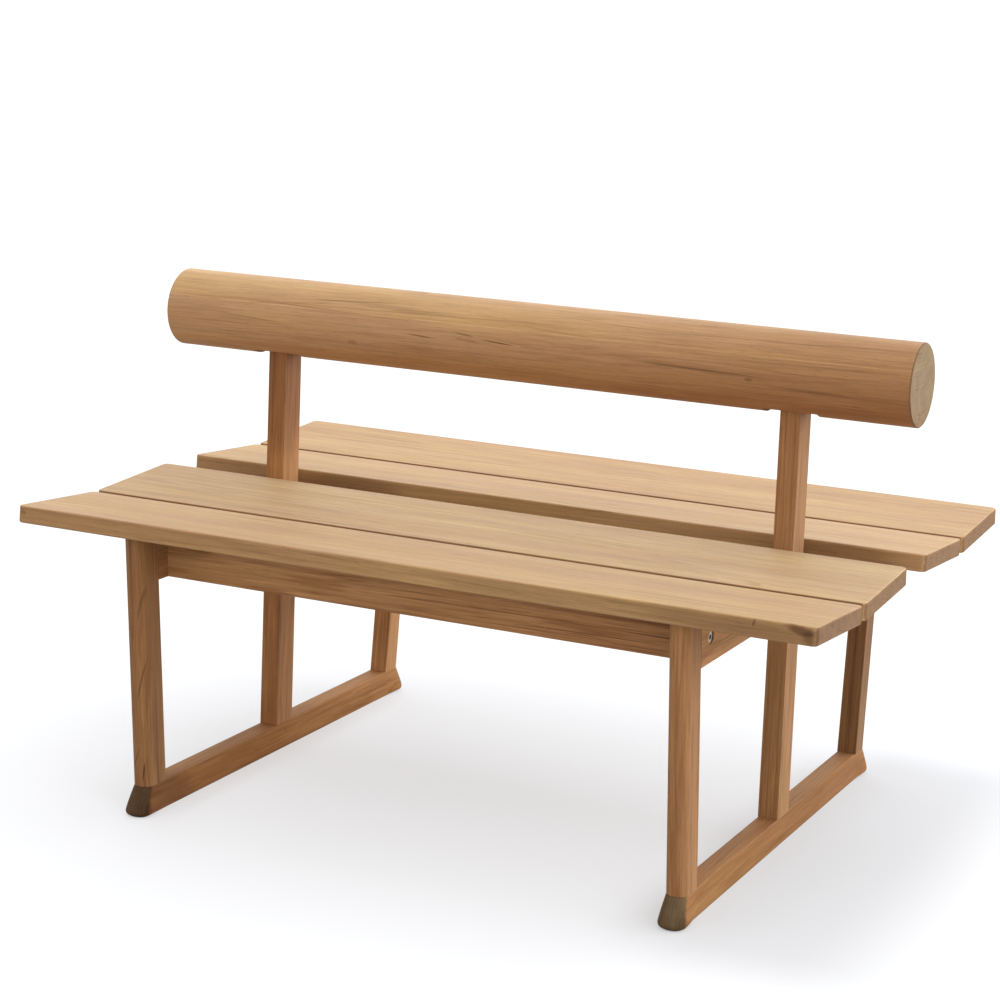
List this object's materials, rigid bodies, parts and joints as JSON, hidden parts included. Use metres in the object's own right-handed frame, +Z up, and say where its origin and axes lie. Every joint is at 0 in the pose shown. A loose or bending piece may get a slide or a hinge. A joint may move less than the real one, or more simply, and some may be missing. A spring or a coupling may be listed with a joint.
{
  "type": "double-sided garden bench",
  "caption": "Solid teak bench with a plank seat on each side and a thick round log between them as shared backrest, on two sled side frames.",
  "frame": {"origin": "centre of the footprint on the floor, midway between the two sled runners and the two seats", "axes": "+X along the bench towards its right end, +Y across it towards the rear seat, +Z up"},
  "size_m": [1.2, 0.85, 0.742],
  "materials": {
    "teak": "sanded bare teak, open grain, satin",
    "teak_log": "turned and sanded bare teak, glued up from staves, end grain on the caps",
    "beech": "fluted dowel stock, bare",
    "stainless_steel": "plain stainless steel, satin"
  },
  "bodies": {
    "root": {"back_post_left": "teak", "back_post_right": "teak", "backrest_log": "teak_log", "barrel_nuts": "stainless_steel", "cleat_screws": "stainless_steel", "frame_bolts": "stainless_steel", "frame_dowels": "beech", "front_leg_left": "teak", "front_leg_right": "teak", "long_rail_front": "teak", "long_rail_rear": "teak", "long_rail_screws": "stainless_steel", "rear_leg_left": "teak", "rear_leg_right": "teak", "seat_cleat_front": "teak", "seat_cleat_rear": "teak", "seat_plank_front_inner": "teak", "seat_plank_front_outer": "teak", "seat_plank_rear_inner": "teak", "seat_plank_rear_outer": "teak", "side_rail_front_left": "teak", "side_rail_front_right": "teak", "side_rail_rear_left": "teak", "side_rail_rear_right": "teak", "side_rail_screws": "stainless_steel", "sled_left": "teak", "sled_right": "teak"}
  },
  "joints": []
}
